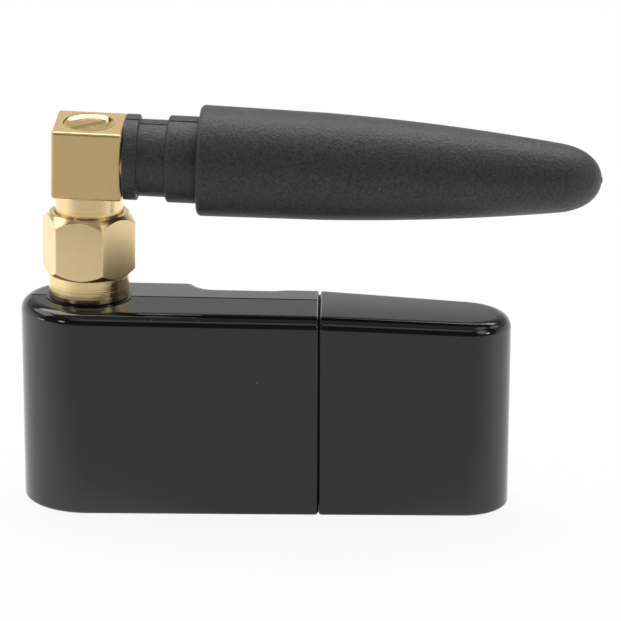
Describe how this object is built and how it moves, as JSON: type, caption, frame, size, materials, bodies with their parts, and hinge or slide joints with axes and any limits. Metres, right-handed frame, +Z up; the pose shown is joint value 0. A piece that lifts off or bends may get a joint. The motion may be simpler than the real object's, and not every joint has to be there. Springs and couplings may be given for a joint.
{
  "type": "usb lighting control interface with antenna",
  "caption": "Glossy black upright plug-in stick with a pull-off plug cap and a stub antenna screwed to its top through a gold right-angle connector.",
  "frame": {"origin": "on the base's flat underside, in the parting plane of the two housing shells, under the axis of the antenna port", "axes": "+Z is up from the base, +X runs from the antenna end to the cap, +Y points to the back"},
  "size_m": [0.0555, 0.0124, 0.0391],
  "materials": {
    "housing": "glossy black",
    "antenna_plastic": "fine-grained satin black",
    "gold_plate": "satin gold plating on brass",
    "gold_contact": "bright gold plating",
    "plug_steel": "nickel-plated sheet",
    "plug_moulding": "white moulding",
    "board": "green solder mask",
    "chip_black": "matt epoxy",
    "can_steel": "pressed metal can",
    "ceramic": "bare ceramic",
    "resistor_black": "glazed black",
    "white_insulator": "waxy white",
    "black_rubber": "soft black",
    "cable_jacket": "clear brown jacket over braid",
    "copper": "bare copper"
  },
  "bodies": {
    "stick": {"front_shell": "housing", "rear_shell": "housing", "circuit_board": "board", "usb_plug_shell": "plug_steel", "usb_plug_insert": "plug_moulding", "usb_contacts": "gold_contact", "microcontroller": "chip_black", "radio_chip": "chip_black", "radio_amplifier": "chip_black", "board_crystals": "can_steel", "voltage_regulator": "chip_black", "board_capacitors": "ceramic", "board_resistors": "resistor_black", "jack_body": "gold_plate", "jack_insulator": "white_insulator", "jack_contact": "gold_contact", "port_ring": "black_rubber"},
    "cap": {"usb_cap": "housing"},
    "ring": {"snap_ring": "gold_contact"},
    "nut": {"coupling_nut": "gold_plate"},
    "antenna": {"nut_gasket": "black_rubber", "elbow_body": "gold_plate", "elbow_cover": "gold_plate", "elbow_insulator": "white_insulator", "elbow_pin": "gold_contact", "antenna_base": "antenna_plastic", "antenna_sleeve": "antenna_plastic", "feed_cable": "cable_jacket", "radiator_tube": "gold_contact", "radiator_wire": "copper"}
  },
  "joints": [
    {"name": "cap_pull", "type": "slide", "parent": "stick", "child": "cap", "axis": [1, 0, 0], "range_m": [0, 0.015]},
    {"name": "antenna_lift", "type": "slide", "parent": "stick", "child": "ring", "axis": [0.014, 0, 0.9999], "range_m": [0, 0.00546]},
    {"name": "nut_turn", "type": "hinge", "parent": "ring", "child": "nut", "pos_m": [0, 0, 0.0201], "axis": [0.014, 0, 0.9999], "range_deg": [0, 2790]},
    {"name": "antenna_swivel", "type": "hinge", "parent": "ring", "child": "antenna", "pos_m": [0, 0, 0.0201], "axis": [0.014, 0, 0.9999], "continuous": true}
  ],
  "couplings": [
    {"joint": "nut_turn", "follows": "antenna_lift", "rad_per_m": 8904.7}
  ]
}
